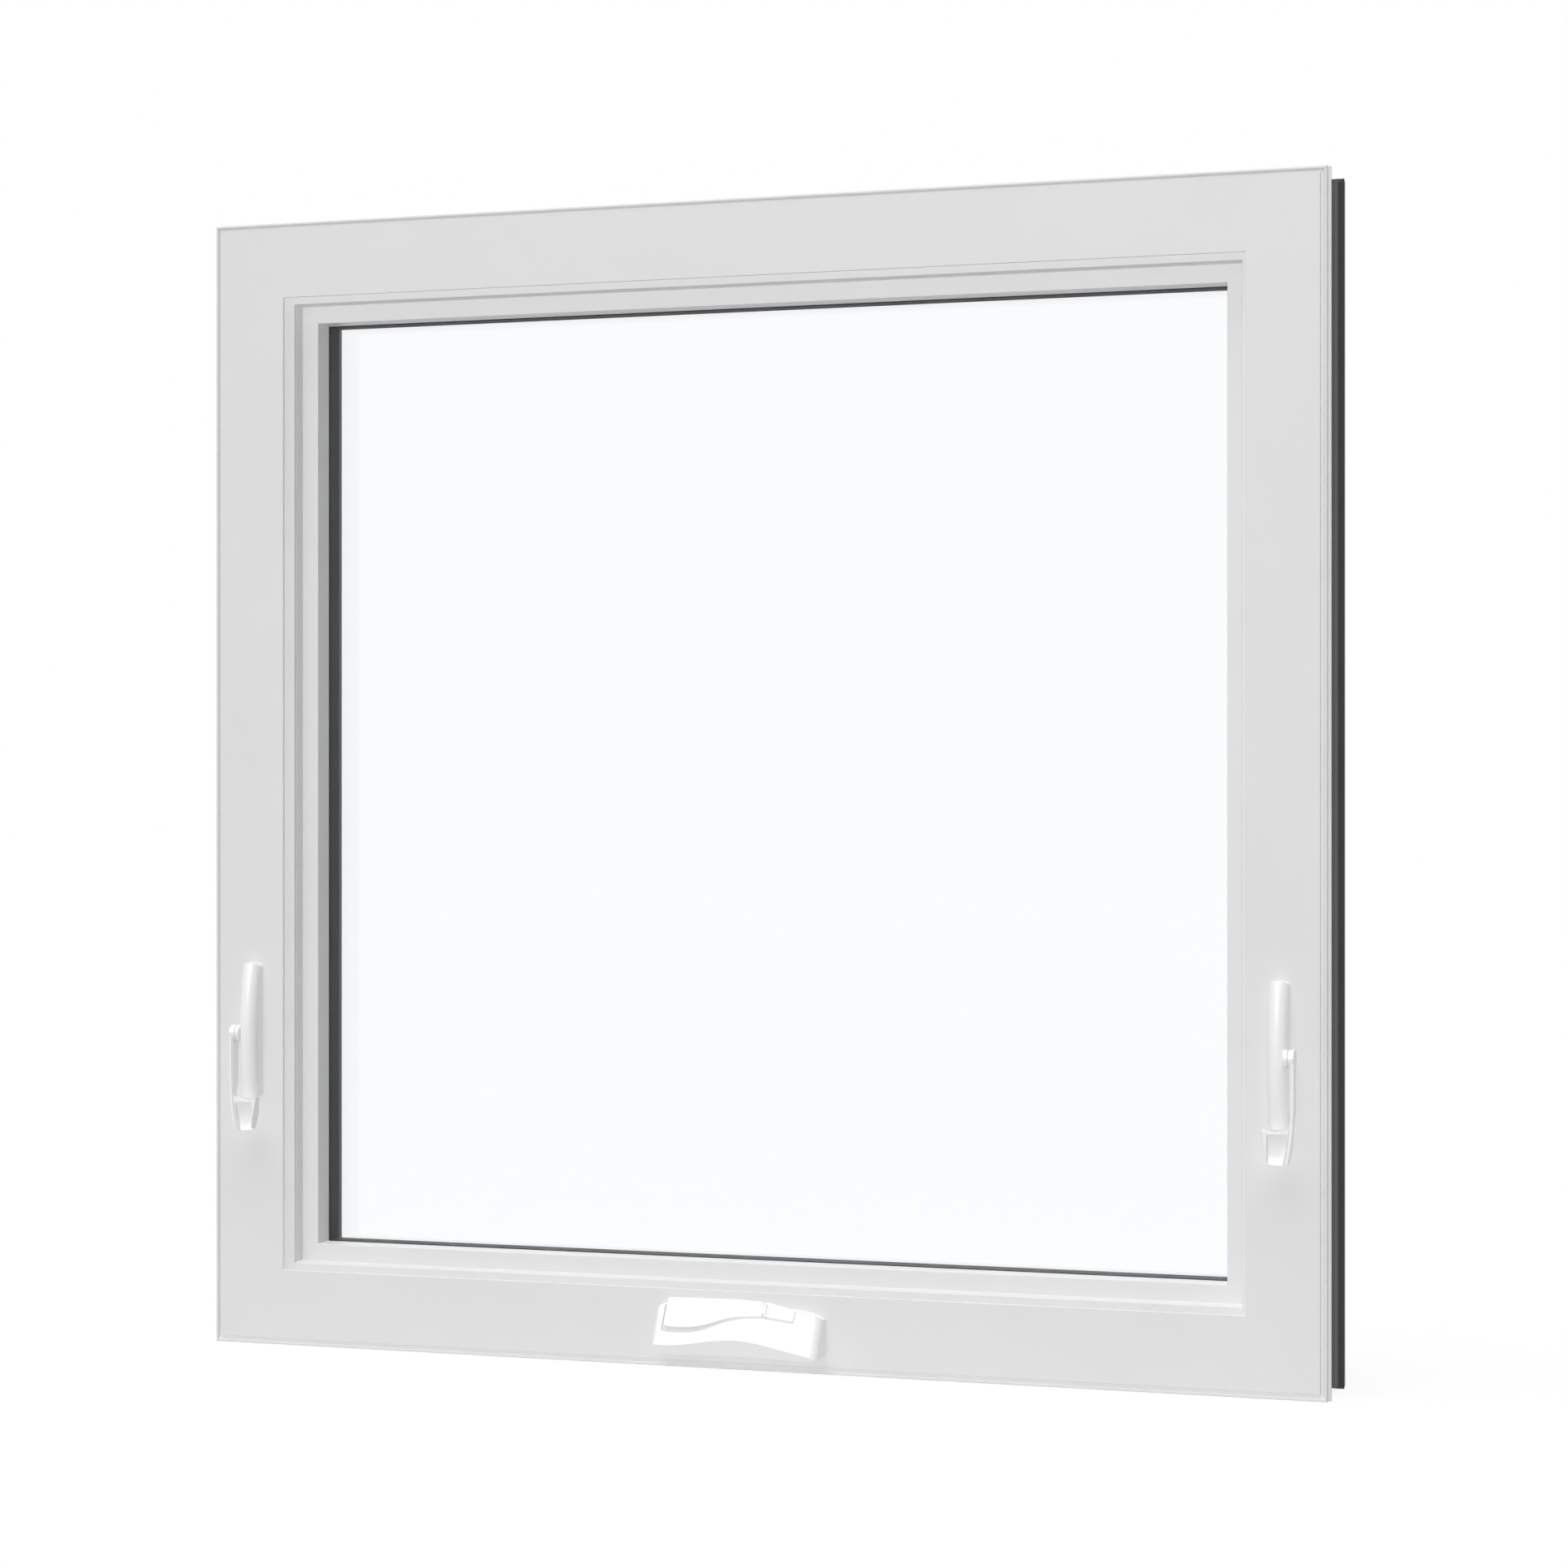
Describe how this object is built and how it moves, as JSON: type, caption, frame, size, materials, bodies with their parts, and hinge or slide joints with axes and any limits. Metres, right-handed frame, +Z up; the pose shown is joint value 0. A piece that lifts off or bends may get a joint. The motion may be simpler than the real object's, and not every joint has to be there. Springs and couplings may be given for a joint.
{
  "type": "awning window",
  "caption": "Square white awning window with dark outdoor trim, insulated glass, jamb locks and a folding crank handle on the sill.",
  "frame": {"origin": "middle of the flat underside of the frame, where it rests on the wall's sill", "axes": "+X to the right seen from the room, +Y out of doors, +Z up"},
  "size_m": [0.9162, 0.1047, 0.9164],
  "materials": {
    "frame_white": "smooth white extruded vinyl",
    "sash_white": "smooth white extruded vinyl",
    "seal_white": "soft white weather seal",
    "trim_dark": "dark satin powder coat",
    "sash_trim_dark": "dark satin powder coat",
    "glass_clear": "clear float glass",
    "spacer_dark": "dark warm-edge spacer",
    "hardware_white": "white satin enamel on die-cast zinc",
    "cover_white": "satin white moulded plastic"
  },
  "bodies": {
    "window": {"frame_sill": "frame_white", "frame_trim_sill": "trim_dark", "frame_head": "frame_white", "frame_trim_head": "trim_dark", "frame_left_jamb": "frame_white", "frame_trim_left_jamb": "trim_dark", "frame_right_jamb": "frame_white", "frame_trim_right_jamb": "trim_dark", "sash_bottom_rail": "sash_white", "sash_trim_bottom_rail": "sash_trim_dark", "sash_top_rail": "sash_white", "sash_trim_top_rail": "sash_trim_dark", "sash_left_stile": "sash_white", "sash_trim_left_stile": "sash_trim_dark", "sash_right_stile": "sash_white", "sash_trim_right_stile": "sash_trim_dark", "weather_seal": "seal_white", "glass_inner_pane": "glass_clear", "glass_outer_pane": "glass_clear", "glass_spacer": "spacer_dark", "left_lock_housing": "hardware_white", "right_lock_housing": "hardware_white", "crank_cover": "cover_white", "crank_hub": "hardware_white"},
    "left_lock": {"left_lock_handle": "hardware_white"},
    "right_lock": {"right_lock_handle": "hardware_white"},
    "crank": {"crank_handle": "hardware_white"}
  },
  "joints": [
    {"name": "left_lock_swing", "type": "hinge", "parent": "window", "child": "left_lock", "pos_m": [-0.422, -0.04065, 0.2496], "axis": [-1, 0, 0], "range_deg": [0, 150]},
    {"name": "right_lock_swing", "type": "hinge", "parent": "window", "child": "right_lock", "pos_m": [0.422, -0.04065, 0.2496], "axis": [-1, 0, 0], "range_deg": [0, 150]},
    {"name": "crank_fold", "type": "hinge", "parent": "window", "child": "crank", "pos_m": [0.02125, -0.03541, 0.0431], "axis": [0, 0.44, 0.898], "range_deg": [0, 90]}
  ]
}
